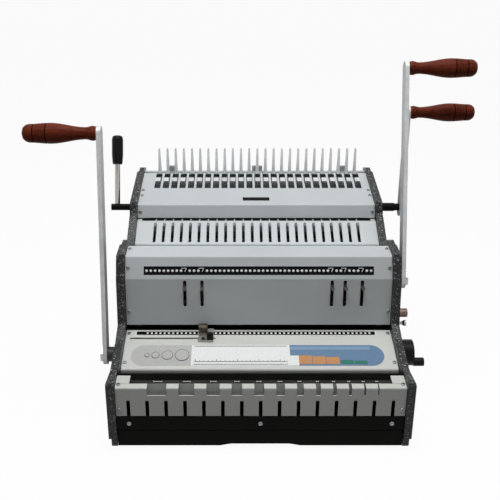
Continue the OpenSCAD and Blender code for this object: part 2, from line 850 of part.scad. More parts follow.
// Foot on the table, stem through the slot, and the nut on the lead screw
module coil_edge_guide() {
    y0 = guide_slot_y - guide_foot_l;
    y1 = table_rear[0] - 1;
    stem_y = guide_slot_y - guide_stem_t / 2;
    color(steel) {
        across([[y0, table_z(y0) + slide_gap], [y1, table_z(y1) + slide_gap], [y1, table_z(y1) + guide_foot_z],
            [y0, table_z(y0) + guide_foot_z]], guide_w, guide_x);
        difference() {
            block(guide_x - guide_nut_w / 2, guide_x + guide_nut_w / 2, stem_y, crank_axis[0] + guide_nut_r,
                crank_axis[1] - guide_nut_r, guide_arm_z + guide_arm_t);
            block(guide_x - guide_nut_w, guide_x + guide_nut_w, stem_y - 1, crank_axis[0] - guide_nut_r,
                0, guide_arm_z);
            rod_x(crank_axis, lead_screw_d + 2 * slide_gap, guide_x - guide_nut_w, guide_x + guide_nut_w);
        }
        block(guide_x - guide_nut_w / 2, guide_x + guide_nut_w / 2, stem_y, stem_y + guide_stem_t,
            guide_arm_z, table_z(guide_slot_y) + slide_gap + 1);
    }
}

// The block that the paper's side edge meets, at the back of the foot
module guide_block() {
    y1 = table_rear[0] - 3;
    y0 = y1 - guide_block_d;
    color("goldenrod")
        across([[y0, table_z(y0) + guide_foot_z], [y1, table_z(y1) + guide_foot_z], [y1, table_z(y0) + guide_h],
            [y0 + 2, table_z(y0) + guide_h], [y0, table_z(y0) + guide_h - 3]],
            guide_block_w, guide_x - (guide_w - guide_block_w) / 2);
}

// Thumb knob that locks the guide, beside the block
module guide_knob() {
    y = guide_slot_y - 3;
    tilt = atan((table_rear[1] - table_bend[1]) / (table_rear[0] - table_bend[0]));
    color(black) translate([guide_x + (guide_w - guide_knob_d) / 2, fy(y), table_z(y) + guide_foot_z])
        rotate([tilt, 0, 0]) {
            cylinder(d = guide_knob_d, h = guide_knob_h);
            cylinder(d = guide_cap_d, h = guide_knob_h + guide_cap_h);
        }
}

comb_guide_x = 117 - wall_x;
comb_guide_w = 17;
comb_guide_h = 8;

module comb_edge_guide() {
    back = comb_table_rear - [4, 0];
    fall = (comb_table_rear[1] - comb_table_top[1]) / (comb_table_rear[0] - comb_table_top[0]);
    seat = back + [0, -4 * fall + slide_gap];
    front = seat + [-22, -22 * fall];
    color("goldenrod")
        across([front, seat, seat + [0, comb_guide_h], front + [6, comb_guide_h], front + [0, 3]],
            comb_guide_w, comb_guide_x);
}

// Controls on the right side

crank_wheel_r = 19.5;
crank_wheel_t = 16;
crank_x = outer_x + 6;
peg_r = 16;
peg_l = 19;

module lead_screw() {
    color(steel) rod_x(crank_axis, lead_screw_d, lead_screw_end, crank_x + crank_wheel_t);
}

module crank_wheel() {
    color(black) difference() {
        rod_x(crank_axis, 2 * crank_wheel_r, crank_x, crank_x + crank_wheel_t);
        rod_x(crank_axis, lead_screw_d + 2 * run_gap, crank_x - 1, crank_x + crank_wheel_t + 1);
    }
}

module crank_peg() {
    at = crank_axis - [0, peg_r];
    x = crank_x + crank_wheel_t;
    color(black) {
        rod_x(at, 8, x, x + peg_l);
        rod_x(at, 13, x + 4, x + peg_l);
    }
}

knob_shaft_d = 6;
knob_d = 13;
knob_l = 13;

module depth_knob() {
    color("goldenrod") {
        rod_x(knob_axis, knob_shaft_d, wall_x, outer_x + 1);
        rod_x(knob_axis, knob_d, outer_x + slide_gap, outer_x + slide_gap + knob_l);
    }
}

pin_d = 5;

module lock_pin() {
    color(steel) translate([outer_x + slide_gap, fy(pin_axis[0]), pin_axis[1]])
        rotate([0, 90, 0]) {
            rotate_extrude()
                polygon([[0, 0], [4.5, 0], [4.5, 2], [2.5, 5], [2.5, 7], [4.5, 10], [4.5, 13], [0, 13]]);
            translate([0, 0, -plate_t - panel_t - slide_gap])
                cylinder(d = pin_d, h = plate_t + panel_t + slide_gap + 1);
        }
}

module placed() {
    translate([middle_x, 0, 0]) children();
}

placed() left_side_plate();
placed() right_side_plate();
placed() tie_rods();
placed() rubber_feet();
placed() base_pan();
placed() front_rail();
placed() rail_screws();
placed() chip_drawer();
placed() gauge_tray();
placed() trough_liner();
placed() coil_table();
placed() coil_cover();
placed() comb_cover();
placed() opener_cover();
placed() prong_bar();
placed() comb_prongs();
placed() prong_blocks();
placed() rear_cover();
placed() comb_table();
placed() coil_die_plate();
placed() coil_guide_plate();
placed() comb_die_plate();
placed() comb_guide_plate();
placed() coil_ram();
placed() comb_ram();
placed() coil_punches();
placed() comb_punches();
placed() comb_punch_levers();
placed() coil_pull_1();
placed() coil_pull_2();
placed() coil_pull_3();
placed() coil_pull_4();
placed() coil_pull_5();
placed() coil_shaft();
placed() coil_cams();
placed() coil_arm();
placed() coil_nut();
placed() coil_grip();
placed() comb_shaft();
placed() comb_cams();
placed() comb_arm();
placed() comb_nut();
placed() comb_grip();
placed() opener_shaft();
placed() opener_arm();
placed() opener_grip();
placed() hook_plate();
placed() comb_hooks();
placed() stop_stub();
placed() stop_rod();
placed() stop_grip();
placed() coil_edge_guide();
placed() guide_block();
placed() guide_knob();
placed() comb_edge_guide();
placed() lead_screw();
placed() crank_wheel();
placed() crank_peg();
placed() depth_knob();
placed() lock_pin();
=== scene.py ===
"""Comb and coil binding machine: finishes, printed films, screws and a plain studio."""
import math

import bmesh
import bpy
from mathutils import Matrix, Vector


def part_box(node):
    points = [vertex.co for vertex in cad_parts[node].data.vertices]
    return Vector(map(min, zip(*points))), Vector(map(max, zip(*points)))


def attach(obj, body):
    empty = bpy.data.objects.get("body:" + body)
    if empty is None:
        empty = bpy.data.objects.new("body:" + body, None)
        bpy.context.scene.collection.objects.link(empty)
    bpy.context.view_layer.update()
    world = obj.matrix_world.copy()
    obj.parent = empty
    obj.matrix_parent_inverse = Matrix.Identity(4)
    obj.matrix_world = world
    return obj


bl_info = {
    "name": "Binding machine dressing",
    "version": (1, 0, 0),
    "blender": (4, 5, 0),
    "location": "View3D > Sidebar > Binding",
    "description": "Dresses a comb and coil binding machine with its finishes, printed films and screws",
    "category": "Object",
}

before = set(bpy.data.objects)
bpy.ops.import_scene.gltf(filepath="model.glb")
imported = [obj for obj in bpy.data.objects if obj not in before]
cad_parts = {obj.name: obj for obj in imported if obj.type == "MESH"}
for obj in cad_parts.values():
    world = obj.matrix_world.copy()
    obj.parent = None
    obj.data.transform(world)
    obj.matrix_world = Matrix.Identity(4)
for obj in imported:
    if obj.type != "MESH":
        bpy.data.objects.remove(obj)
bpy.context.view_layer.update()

MM = 0.001

# Side view of the covers: millimetres behind the gauge tray's face, and above the bench
FACETS = {
    "opener_top": ((297, 262), (400, 291)),
    "opener_front": ((291, 241), (297, 262)),
    "comb_lip": ((281, 238), (295, 239)),
    "coil_top": ((146, 229), (180, 234)),
    "coil_brow": ((133, 198), (146, 229)),
    "coil_front": ((126, 128), (133, 198)),
    "table_rear": ((95, 112), (124, 120)),
    "table_front": ((52, 95), (95, 112)),
    "tray_flange": ((0, 97), (11, 99)),
    "tray_face": ((0, 54), (0, 97)),
    "trough_lip": ((11.5, 96.5), (22, 96.5)),
    "rear_face": ((438, 262), (438, 45)),
}
# The gauge tray: its face, behind which the side view is measured, and the machine's middle
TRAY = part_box("gauge_tray")
TRAY_FACE_Y = TRAY[0][1] / MM
MIDDLE_X = (TRAY[0][0] + TRAY[1][0]) / 2 / MM

# The two punches' rows, in millimetres
COIL_PITCH = 6.2865
COIL_COUNT = 53
COMB_PITCH = 14.2875
COMB_COUNT = 24
PULL_NODES = ["coil_pull_%d" % i for i in range(1, 6)]


def linear(hex_colour):
    """Linear colour of an sRGB hex value."""
    channels = [int(hex_colour[i:i + 2], 16) / 255 for i in (1, 3, 5)]
    return [c / 12.92 if c <= 0.04045 else ((c + 0.055) / 1.055) ** 2.4 for c in channels]


def opaque(hex_colour):
    """The same colour with full alpha, as a shader socket takes it."""
    return (*linear(hex_colour), 1.0)


def shade(colour, amount):
    """A linear colour made darker or lighter, with full alpha."""
    return (*[min(1, c * amount) for c in colour], 1.0)


def per_mm(size):
    """Texture scale whose pattern repeats about every size millimetres."""
    return 1 / (size * MM)


def colour_prop(label, hex_colour, about):
    """A colour that a user may change."""
    return bpy.props.FloatVectorProperty(
        name=label, description=about, subtype="COLOR", size=3, min=0, max=1, default=linear(hex_colour))


def length_prop(label, mm, about):
    """A length that a user may change, in metres."""
    return bpy.props.FloatProperty(name=label, description=about, unit="LENGTH", min=0, default=mm * MM)


class BindingFinishes(bpy.types.PropertyGroup):
    """Colours of the finishes."""
    coat: colour_prop("Powder coat", "#c9cfd1", "Silver-grey coat of the covers")
    # The warm hue is the table's and tray's own; its extra lightness over the covers' coat is painted light
    tray: colour_prop("Tray coat", "#d1d3ce", "Warmer coat of the paper table and gauge tray")
    plate: colour_prop("Hammered paint", "#0e0f10", "Ground colour of the side plates")
    fleck: colour_prop("Fleck", "#9b9ea1", "Silver flecks in the hammered paint")
    wood: colour_prop("Wood", "#70301f", "Varnished wood of the grips")
    bar: colour_prop("Bar steel", "#dcdddf", "Ground steel of the handle bars")


class BindingPrints(bpy.types.PropertyGroup):
    """Sizes of the printed films."""
    band_width: length_prop("Dot band", 12.5, "Width of the film with a dot above each coil punch")
    dot: length_prop("Dot", 3.8, "Diameter of a printed dot")
    lift: length_prop("Film lift", 0.15, "How far a film stands off its sheet")
    scale_height: length_prop("Scale label", 37.5, "Height of the coloured scale on the paper table")


class BindingStudio(bpy.types.PropertyGroup):
    """Camera."""
    lens: bpy.props.FloatProperty(name="Lens", description="Focal length in millimetres", default=50.67, min=20)
    eye_x: bpy.props.FloatProperty(
        name="Eye across", description="Camera to the right of the machine's middle", unit="LENGTH", default=-32.5 * MM)
    eye_back: length_prop("Eye back", 811.8, "Camera in front of the gauge tray's face")
    eye_high: length_prop("Eye height", 594.9, "Camera above the bench")
    pitch: bpy.props.FloatProperty(
        name="Pitch", description="Angle that the camera looks down", subtype="ANGLE", default=math.radians(20.41))
    shift: bpy.props.FloatProperty(
        name="Shift", description="How far the frame sits right of the lens's axis, in frame widths", default=0.027)


def add_node(tree, kind, inputs=None, **settings):
    """Add a node, set its options, and set or link its inputs."""
    made = tree.nodes.new(kind)
    for name, value in settings.items():
        setattr(made, name, value)
    for name, value in (inputs or {}).items():
        if isinstance(value, bpy.types.NodeSocket):
            tree.links.new(value, made.inputs[name])
        else:
            made.inputs[name].default_value = value
    return made


def new_surface(name, **sockets):
    """A material of one principled shader, with its constants set on the shader's own sockets."""
    material = bpy.data.materials.new(name)
    material.use_nodes = True
    tree = material.node_tree
    shader = tree.nodes["Principled BSDF"]
    for socket, value in sockets.items():
        shader.inputs[socket.replace("_", " ")].default_value = value
    return material, tree, shader


def local_point(tree, stretch=(1, 1, 1)):
    """Points of the object in metres, drawn out along its axes."""
    coords = add_node(tree, "ShaderNodeTexCoord")
    return add_node(tree, "ShaderNodeMapping", {"Vector": coords.outputs["Object"], "Scale": stretch}).outputs[0]


def noise(tree, size, detail=2.0, stretch=(1, 1, 1), distortion=0.0):
    """Noise with lumps about size millimetres across."""
    return add_node(tree, "ShaderNodeTexNoise", {
        "Vector": local_point(tree, stretch), "Scale": per_mm(size), "Detail": detail, "Distortion": distortion,
    }).outputs["Fac"]


def ramp(tree, factor, stops):
    """A colour ramp through the given places and colours."""
    made = add_node(tree, "ShaderNodeValToRGB", {"Fac": factor})
    band = made.color_ramp
    while len(band.elements) < len(stops):
        band.elements.new(1)
    for element, (position, colour) in zip(band.elements, stops):
        element.position = position
        element.color = colour
    return made.outputs["Color"]


def tint(tree, shader, factor, stops):
    """Base colour that wanders through the given places and colours."""
    tree.links.new(ramp(tree, factor, stops), shader.inputs["Base Color"])


def gloss(tree, shader, factor, low, high):
    """Roughness that wanders between two values."""
    spread = add_node(tree, "ShaderNodeMapRange", {"Value": factor, "To Min": low, "To Max": high})
    tree.links.new(spread.outputs[0], shader.inputs["Roughness"])


def relief(tree, shader, height, depth_mm, strength):
    """Small bumps of a real depth."""
    bump = add_node(tree, "ShaderNodeBump", {"Height": height, "Distance": depth_mm * MM, "Strength": strength})
    tree.links.new(bump.outputs["Normal"], shader.inputs["Normal"])


def powder_coat(name, colour):
    """Powder-coated sheet steel, baked: an even satin grey with a faint orange peel."""
    material, tree, shader = new_surface(name, Coat_Weight=0.08)
    drift = noise(tree, 90, 3.0)
    tint(tree, shader, drift, [(0.3, shade(colour, 0.94)), (0.7, shade(colour, 1.03))])
    gloss(tree, shader, drift, 0.42, 0.54)
    relief(tree, shader, noise(tree, 1.6), 0.02, 0.5)
    return material


def hammered_paint(ground, fleck):
    """Hammertone paint on cast side plates: black dimples edged with silver flecks."""
    material, tree, shader = new_surface("hammertone_painted_casting", Specular_IOR_Level=0.3)
    # Real dimples are about 1 mm across; they are drawn at 3 mm so that they show
    cells = add_node(tree, "ShaderNodeTexVoronoi", {
        "Vector": local_point(tree), "Scale": per_mm(3)}, feature="DISTANCE_TO_EDGE").outputs["Distance"]
    grit = noise(tree, 2.6)
    veins = add_node(tree, "ShaderNodeMath", {0: grit, 1: cells}, operation="SUBTRACT").outputs[0]
    tint(tree, shader, veins, [(0.53, shade(ground, 1)), (0.59, shade(fleck, 1)), (0.67, shade(fleck, 1.6))])
    gloss(tree, shader, grit, 0.22, 0.5)
    relief(tree, shader, cells, 0.25, 0.7)
    return material


def satin_paint(name, dark, light):
    """Dark satin paint on sheet steel: nearly even, with a little bloom."""
    material, tree, shader = new_surface(name, Specular_IOR_Level=0.05)
    bloom = noise(tree, 40, 5.0)
    tint(tree, shader, bloom, [(0.3, opaque(dark)), (0.75, opaque(light))])
    gloss(tree, shader, bloom, 0.34, 0.5)
    relief(tree, shader, noise(tree, 1.2), 0.02, 0.4)
    return material


def lined_steel(name, colour, roughness, metallic):
    """Ground, turned or plated steel: fine lines along the bar, a few darker rubs and a sheen from matte to bright."""
    material, tree, shader = new_surface(name, Metallic=metallic)
    lines = noise(tree, 1.1, 3.0, stretch=(1, 1, 0.02))
    rubs = noise(tree, 26, 5.0)
    worn = add_node(tree, "ShaderNodeMath", {0: lines, 1: rubs}, operation="MULTIPLY").outputs[0]
    tint(tree, shader, worn, [(0.12, shade(colour, 0.82)), (0.36, shade(colour, 1.06))])
    gloss(tree, shader, rubs, roughness - 0.08, roughness + 0.1)
    relief(tree, shader, lines, 0.02, 0.4)
    return material


def chrome_plate():
    """Bright chrome plate: a mirror with the faintest haze."""
    material, tree, shader = new_surface("bright_chrome_plate", Metallic=1.0, Base_Color=opaque("#a7a39d"))
    gloss(tree, shader, noise(tree, 6, 3.0), 0.06, 0.2)
    return material


def turned_brass(name, dark, light):
    """Turned copper alloy, dulled by handling: brownish, with lathe lines."""
    material, tree, shader = new_surface(name, Metallic=0.85)
    tarnish = noise(tree, 7, 5.0)
    tint(tree, shader, tarnish, [(0.3, opaque(dark)), (0.7, opaque(light))])
    gloss(tree, shader, tarnish, 0.25, 0.45)
    relief(tree, shader, noise(tree, 0.9, stretch=(1, 0.05, 0.05)), 0.03, 0.5)
    return material


def varnished_wood(colour):
    """Turned hardwood, stained red-brown: long grain and dark pores under a thin, worn varnish."""
    material, tree, shader = new_surface(
        "varnished_red_brown_hardwood", Specular_IOR_Level=0.05, Coat_Weight=0.01, Coat_Roughness=0.25)
    grain = noise(tree, 4.5, 6.0, stretch=(0.08, 1, 1), distortion=0.6)
    pores = noise(tree, 1.2, stretch=(0.05, 1, 1))
    stain = ramp(tree, grain, [
        (0.30, shade(colour, 0.5)), (0.48, shade(colour, 0.9)),
        (0.60, shade(colour, 1.12)), (0.74, shade(colour, 0.75))])
    dark = ramp(tree, pores, [(0.34, opaque("#b3adaa")), (0.46, opaque("#ffffff"))])
    # Sockets 6 and 7 are the two colours that the node mixes, and output 2 is the mixed one
    stained = add_node(
        tree, "ShaderNodeMix", {"Factor": 1.0, 6: stain, 7: dark}, data_type="RGBA", blend_type="MULTIPLY")
    tree.links.new(stained.outputs[2], shader.inputs["Base Color"])
    gloss(tree, shader, grain, 0.36, 0.54)
    relief(tree, shader, pores, 0.05, 0.35)
    return material


def charred_wood():
    """Hardwood scorched in a turned groove: a dull, nearly black brown."""
    material, tree, shader = new_surface("charred_groove_hardwood", Roughness=0.7, Specular_IOR_Level=0.05)
    tint(tree, shader, noise(tree, 3, 3.0), [(0.3, opaque("#1c0a06")), (0.7, opaque("#351710"))])
    return material


def moulded_plastic():
    """Black moulded ABS: satin, with a fine spark-eroded grain."""
    material, tree, shader = new_surface("moulded_black_abs", Base_Color=opaque("#080809"), Specular_IOR_Level=0.12)
    grain = noise(tree, 1.0, 3.0)
    gloss(tree, shader, grain, 0.26, 0.44)
    relief(tree, shader, grain, 0.03, 0.5)
    return material


def foot_rubber():
    """Moulded black rubber: dull, with a dusty bloom."""
    material, tree, shader = new_surface("moulded_black_rubber", Roughness=0.85)
    dust = noise(tree, 8, 4.0)
    tint(tree, shader, dust, [(0.35, opaque("#0d0d0d")), (0.75, opaque("#26262a"))])
    relief(tree, shader, dust, 0.05, 0.5)
    return material


def printed_vinyl(name, hex_colour):
    """Screen-printed vinyl film: an even ink with a slight tooth."""
    colour = linear(hex_colour)
    material, tree, shader = new_surface(name, Roughness=0.4, Specular_IOR_Level=0.06)
    tint(tree, shader, noise(tree, 2.2, 3.0), [(0.3, shade(colour, 0.93)), (0.7, shade(colour, 1.04))])
    return material


INK = {
    "black": "#0a0a0c", "white": "#fbfcfc", "grey": "#c6c7c4", "line": "#4c4c50", "blue": "#7290b0",
    "orange": "#d29a68", "green": "#3f8574", "pale_blue": "#8ba8c4",
}


def inks():
    """The printed inks, made once."""
    made = {}
    for ink, colour in INK.items():
        name = "printed_vinyl_" + ink
        made[ink] = bpy.data.materials.get(name) or printed_vinyl(name, colour)
    return made


def station(y, z):
    """A place in the side view, on the machine's middle, in metres."""
    return Vector((MIDDLE_X * MM, (y + TRAY_FACE_Y) * MM, z * MM))


class Facet:
    """A flat face of a cover: x across it, s up it from its lower edge, both in millimetres."""

    def __init__(self, name):
        low, high = FACETS[name]
        self.low = station(*low)
        span = station(*high) - self.low
        self.height = span.length / MM
        self.along = span.normalized()
        self.normal = Vector((0, -self.along.z, self.along.y))

    def at(self, x, s, lift):
        """A point of the facet, lifted off it by lift metres."""
        return self.low + Vector((x * MM, 0, 0)) + self.along * (s * MM) + self.normal * lift

    def ring(self, shape, outline, lift):
        """New vertices round an outline on the facet."""
        return [shape.verts.new(self.at(x, s, lift)) for x, s in outline]


def turns(steps):
    """Angles of one turn, in equal steps."""
    return [2 * math.pi * i / steps for i in range(steps)]


def disc(x, s, d, steps=14):
    """Outline of a dot."""
    return [(x + d / 2 * math.cos(a), s + d / 2 * math.sin(a)) for a in turns(steps)]


def bar(x0, x1, s0, s1, left_r=0.0, right_r=0.0, steps=8):
    """Outline of a bar whose left and right corners are rounded."""
    corners = [(x1, s0, right_r, -90), (x1, s1, right_r, 0), (x0, s1, left_r, 90), (x0, s0, left_r, 180)]
    points = []
    for x, s, r, start in corners:
        cx = x - r if x == x1 else x + r
        cs = s - r if s == s1 else s + r
        for i in range(steps + 1 if r else 1):
            a = math.radians(start + 90 * i / steps)
            points.append((cx + r * math.cos(a), cs + r * math.sin(a)))
    return points


def row_places(count, pitch):
    """Places along a centred row."""
    return [(i - (count - 1) / 2) * pitch for i in range(count)]


def next_pairs(loop):
    """Each item of a closed loop with the one after it."""
    return list(zip(loop, loop[1:] + loop[:1]))


def join_rings(shape, lower, upper):
    """Faces between two rings of as many points."""
    return [shape.faces.new((a, b, d, c)) for (a, b), (c, d) in zip(next_pairs(lower), next_pairs(upper))]


def finished_mesh(shape, name):
    """The closed shape as a mesh, with its faces turned outwards."""
    bmesh.ops.recalc_face_normals(shape, faces=shape.faces)
    mesh = bpy.data.meshes.new(name)
    shape.to_mesh(mesh)
    shape.free()
    return mesh


def add_piece(name, shape, materials, body):
    """Put a finished shape in the scene on a body."""
    mesh = finished_mesh(shape, name)
    for material in materials:
        mesh.materials.append(material)
    piece = bpy.data.objects.new(name, mesh)
    bpy.context.scene.collection.objects.link(piece)
    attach(piece, body)


# How far each further layer of a film stands above the one below, as a share of the first one's lift
LAYER_STEP = 0.5


def film(name, facet, layers):
    """Printed film on a facet: layers are (material, outlines), thin slabs that lie on the layer below."""
    lift = bpy.context.scene.binding_prints.lift
    shape = bmesh.new()
    under = 0.0
    for index, (_, outlines) in enumerate(layers):
        over = lift * (1 + LAYER_STEP * index)
        for outline in outlines:
            lower, upper = facet.ring(shape, outline, under), facet.ring(shape, outline, over)
            ends = [shape.faces.new(lower[::-1]), shape.faces.new(upper)]
            for face in ends + join_rings(shape, lower, upper):
                face.material_index = index
        under = over
    add_piece(name, shape, [material for material, _ in layers], "frame")


def dress(node_names, material):
    """Give the named solids a finish."""
    for name in node_names:
        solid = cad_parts[name]
        solid.data.materials.clear()
        solid.data.materials.append(material)


class BINDING_OT_finishes(bpy.types.Operator):
    """Give every solid its real material and finish"""
    bl_idname = "binding.finishes"
    bl_label = "Finishes"

    def execute(self, context):
        colours = context.scene.binding_finishes
        dress(["coil_cover", "comb_cover", "opener_cover", "rear_cover", "comb_table"],
              powder_coat("powder_coated_steel_satin", colours.coat))
        # The warmer hue is the table's and tray's own; the coat is also a little lighter than the covers' coat, as
        # painted light on the shaded tray face
        dress(["coil_table", "gauge_tray"], powder_coat("powder_coated_warm_steel_satin", colours.tray))
        dress(["left_side_plate", "right_side_plate"], hammered_paint(colours.plate, colours.fleck))
        dress(["base_pan", "front_rail", "chip_drawer", "opener_shaft", "stop_stub"],
              satin_paint("satin_black_painted_steel", "#080907", "#131411"))
        # The trough's paint is satin black; it is drawn charcoal, lighter than it is, as painted light on the trough in
        # the table's shade
        dress(["trough_liner"], satin_paint("satin_black_paint_lifted_as_painted_light", "#2b2b27", "#393934"))
        dress(["coil_arm", "comb_arm", "opener_arm"], lined_steel("ground_bar_steel_matte", colours.bar, 0.5, 0.3))
        dress(PULL_NODES, lined_steel("bronzed_pull_steel", linear("#5a564e"), 0.28, 0.8))
        dress(["comb_punch_levers"], lined_steel("phosphated_lever_steel", linear("#5d6062"), 0.5, 0.5))
        dress(["tie_rods", "prong_blocks", "coil_punches", "comb_punches", "lead_screw", "rail_screws"],
              lined_steel("turned_machine_steel", linear("#8f9193"), 0.34, 0.9))
        dress(["coil_die_plate", "coil_guide_plate", "comb_die_plate", "comb_guide_plate", "coil_ram", "comb_ram",
               "coil_cams", "comb_cams", "hook_plate", "coil_shaft", "comb_shaft"],
              lined_steel("oil_blackened_steel", linear("#2a2b2c"), 0.42, 0.6))
        dress(["comb_prongs", "prong_bar", "comb_hooks"],
              lined_steel("bright_zinc_plate", linear("#d6d8da"), 0.36, 0.8))
        dress(["coil_nut", "comb_nut", "stop_rod", "lock_pin", "coil_edge_guide", "comb_edge_guide"], chrome_plate())
        dress(["depth_knob"], turned_brass("turned_brass_dulled", "#54463d", "#7c6a5f"))
        dress(["guide_block"], turned_brass("bronzed_brass_dark", "#332e26", "#6f6858"))
        dress(["coil_grip", "comb_grip", "opener_grip"], varnished_wood(colours.wood))
        dress(["stop_grip", "crank_wheel", "crank_peg", "guide_knob"], moulded_plastic())
        dress(["rubber_feet"], foot_rubber())
        return {"FINISHED"}


# Coil dot bands, in millimetres. The brow band's lower edge, and how far it runs past the row of dots
BROW_LOW = 6.2
BROW_PAST = 1
# The throat band's edges below the table's rear edge, how far it runs past the brow band to the left and right,
# its corners, its dots against the brow band's, and its white rim at the ends, along the edges and at the corners
THROAT_LOW, THROAT_HIGH = 10.5, 3
THROAT_LEFT, THROAT_RIGHT = 12, 4
THROAT_R = 1
THROAT_DOT = 0.85
RIM_X, RIM_S, RIM_R = 1, 0.5, 0.5
# Sign above a coil pull, about its punch: a slanted stroke's corners, and a dash's left, right, lower and upper edge
PULL_STROKE = ((-1.4, -1.8), (-0.4, -1.8), (1.8, 3), (0.8, 3))
PULL_DASH = (-6, 1.2, 3.2, 4)


def pull_sign(x, s):
    """Outlines of the sign above a coil pull."""
    left, right, lower, upper = PULL_DASH
    return [[(x + dx, s + ds) for dx, ds in PULL_STROKE], bar(x + left, x + right, s + lower, s + upper)]


class BINDING_OT_coil_bands(bpy.types.Operator):
    """Print a dot for each coil punch on the cover's brow and along the throat"""
    bl_idname = "binding.coil_bands"
    bl_label = "Coil dot bands"

    def execute(self, context):
        sizes = context.scene.binding_prints
        ink = inks()
        width = sizes.band_width / MM
        dot = sizes.dot / MM
        punches = row_places(COIL_COUNT, COIL_PITCH)
        half = COIL_PITCH * COIL_COUNT / 2 + BROW_PAST
        middle = BROW_LOW + width / 2
        pulls = [(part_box(node)[0][0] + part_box(node)[1][0]) / 2 / MM - MIDDLE_X for node in PULL_NODES]
        marks = []
        for x in punches:
            pulled = any(abs(x - pull) <= COIL_PITCH / 2 for pull in pulls)
            marks += pull_sign(x, middle) if pulled else [disc(x, middle, dot)]
        film("coil_brow_band", Facet("coil_brow"), [
            (ink["black"], [bar(-half, half, BROW_LOW, BROW_LOW + width)]), (ink["white"], marks)])
        throat = Facet("table_rear")
        low, high = throat.height - THROAT_LOW, throat.height - THROAT_HIGH
        left, right = -half - THROAT_LEFT, half + THROAT_RIGHT
        rim_r = THROAT_R + RIM_R
        film("coil_throat_band", throat, [
            (ink["white"], [bar(left - RIM_X, right + RIM_X, low - RIM_S, high + RIM_S, rim_r, rim_r)]),
            (ink["black"], [bar(left, right, low, high, THROAT_R, THROAT_R)]),
            (ink["white"], [disc(x, (low + high) / 2, dot * THROAT_DOT) for x in punches])])
        return {"FINISHED"}


# Tick strip: half its length, half a tick's width, its lower edge, and how far it ends below the lip's top
TICK_STRIP_HALF = 187
TICK_GAP = 0.9
TICK_LOW = 3
TICK_TOP = 0.5


class BINDING_OT_comb_ticks(bpy.types.Operator):
    """Print a black strip along the comb cover's lip, with a bare tick behind each punch"""
    bl_idname = "binding.comb_ticks"
    bl_label = "Comb ticks"

    def execute(self, context):
        lip = Facet("comb_lip")
        punches = row_places(COMB_COUNT, COMB_PITCH)
        lefts = [-TICK_STRIP_HALF] + [x + TICK_GAP for x in punches]
        rights = [x - TICK_GAP for x in punches] + [TICK_STRIP_HALF]
        dashes = [bar(left, right, TICK_LOW, lip.height - TICK_TOP) for left, right in zip(lefts, rights)]
        film("comb_tick_strip", lip, [(inks()["black"], dashes)])
        return {"FINISHED"}


# Comb gauge: widths of the notches, the first one's left edge, and the metal between two notches
GAUGE_WIDTHS = (26, 21, 17.5, 14, 13, 11.5, 9, 6.5, 5, 4, 2.5, 1.5)
GAUGE_START = -152
GAUGE_GAP = 16.2
# Dimension lines: how far up the lip, half length as a share of the notch and at least, half a stroke, half an end
MARK_S = 6.4
MARK_SHARE = 0.22
MARK_LEAST = 1.4
MARK_STROKE = 0.4
MARK_END = 1.1


class BINDING_OT_gauge_marks(bpy.types.Operator):
    """Print the width of each gauge notch as a dimension line on the trough's lip"""
    bl_idname = "binding.gauge_marks"
    bl_label = "Gauge marks"

    def execute(self, context):
        left = GAUGE_START
        marks = []
        for width in GAUGE_WIDTHS:
            half = max(MARK_LEAST, width * MARK_SHARE)
            centre = left + width / 2
            ends = (centre - half, centre + half)
            marks.append(bar(*ends, MARK_S - MARK_STROKE, MARK_S + MARK_STROKE))
            marks += [bar(x - MARK_STROKE, x + MARK_STROKE, MARK_S - MARK_END, MARK_S + MARK_END) for x in ends]
            left += width + GAUGE_GAP
        film("gauge_width_marks", Facet("trough_lip"), [(inks()["white"], marks)])
        return {"FINISHED"}


# Size label: its lower edge, the ends of its grey, white and blue fields, and the white field's gap to the others
LABEL_LOW = 7
LABEL_LEFT, GREY_END, BLUE_START, LABEL_RIGHT = -183, -97, 44, 178
LABEL_SEAM = 0.1
LABEL_LINE = 0.6
# Rings on the grey field: place and diameter
RINGS = ((-160, 7), (-147.8, 11.5), (-131, 16), (-110, 20.5))
RING_STEPS = 36
# Scale on the white field: its lines above the lower edge and below the upper one, and its margin;
# its ticks stand on the second line, and each fifth one is longer
SCALE_LINES = (2, 7)
SCALE_TOP = 2.5
SCALE_MARGIN = 4
TICK_PITCH = 6
TICK_SHORT, TICK_LONG = 2, 4.5
# Blue field: left edge and height of each block, the first three orange and the others green; the blocks' width and
# foot; the height of the white corner before them; and the pale stripe's edges below the upper edge
BLOCKS = ((56, 15.5), (75.5, 14), (95, 12.5), (114.5, 7), (134, 6))
ORANGE_BLOCKS = 3
BLOCK_WIDTH = 18.5
BLOCK_FOOT = 2.7
CORNER_HEIGHT = 18
STRIPE = (9, 3)


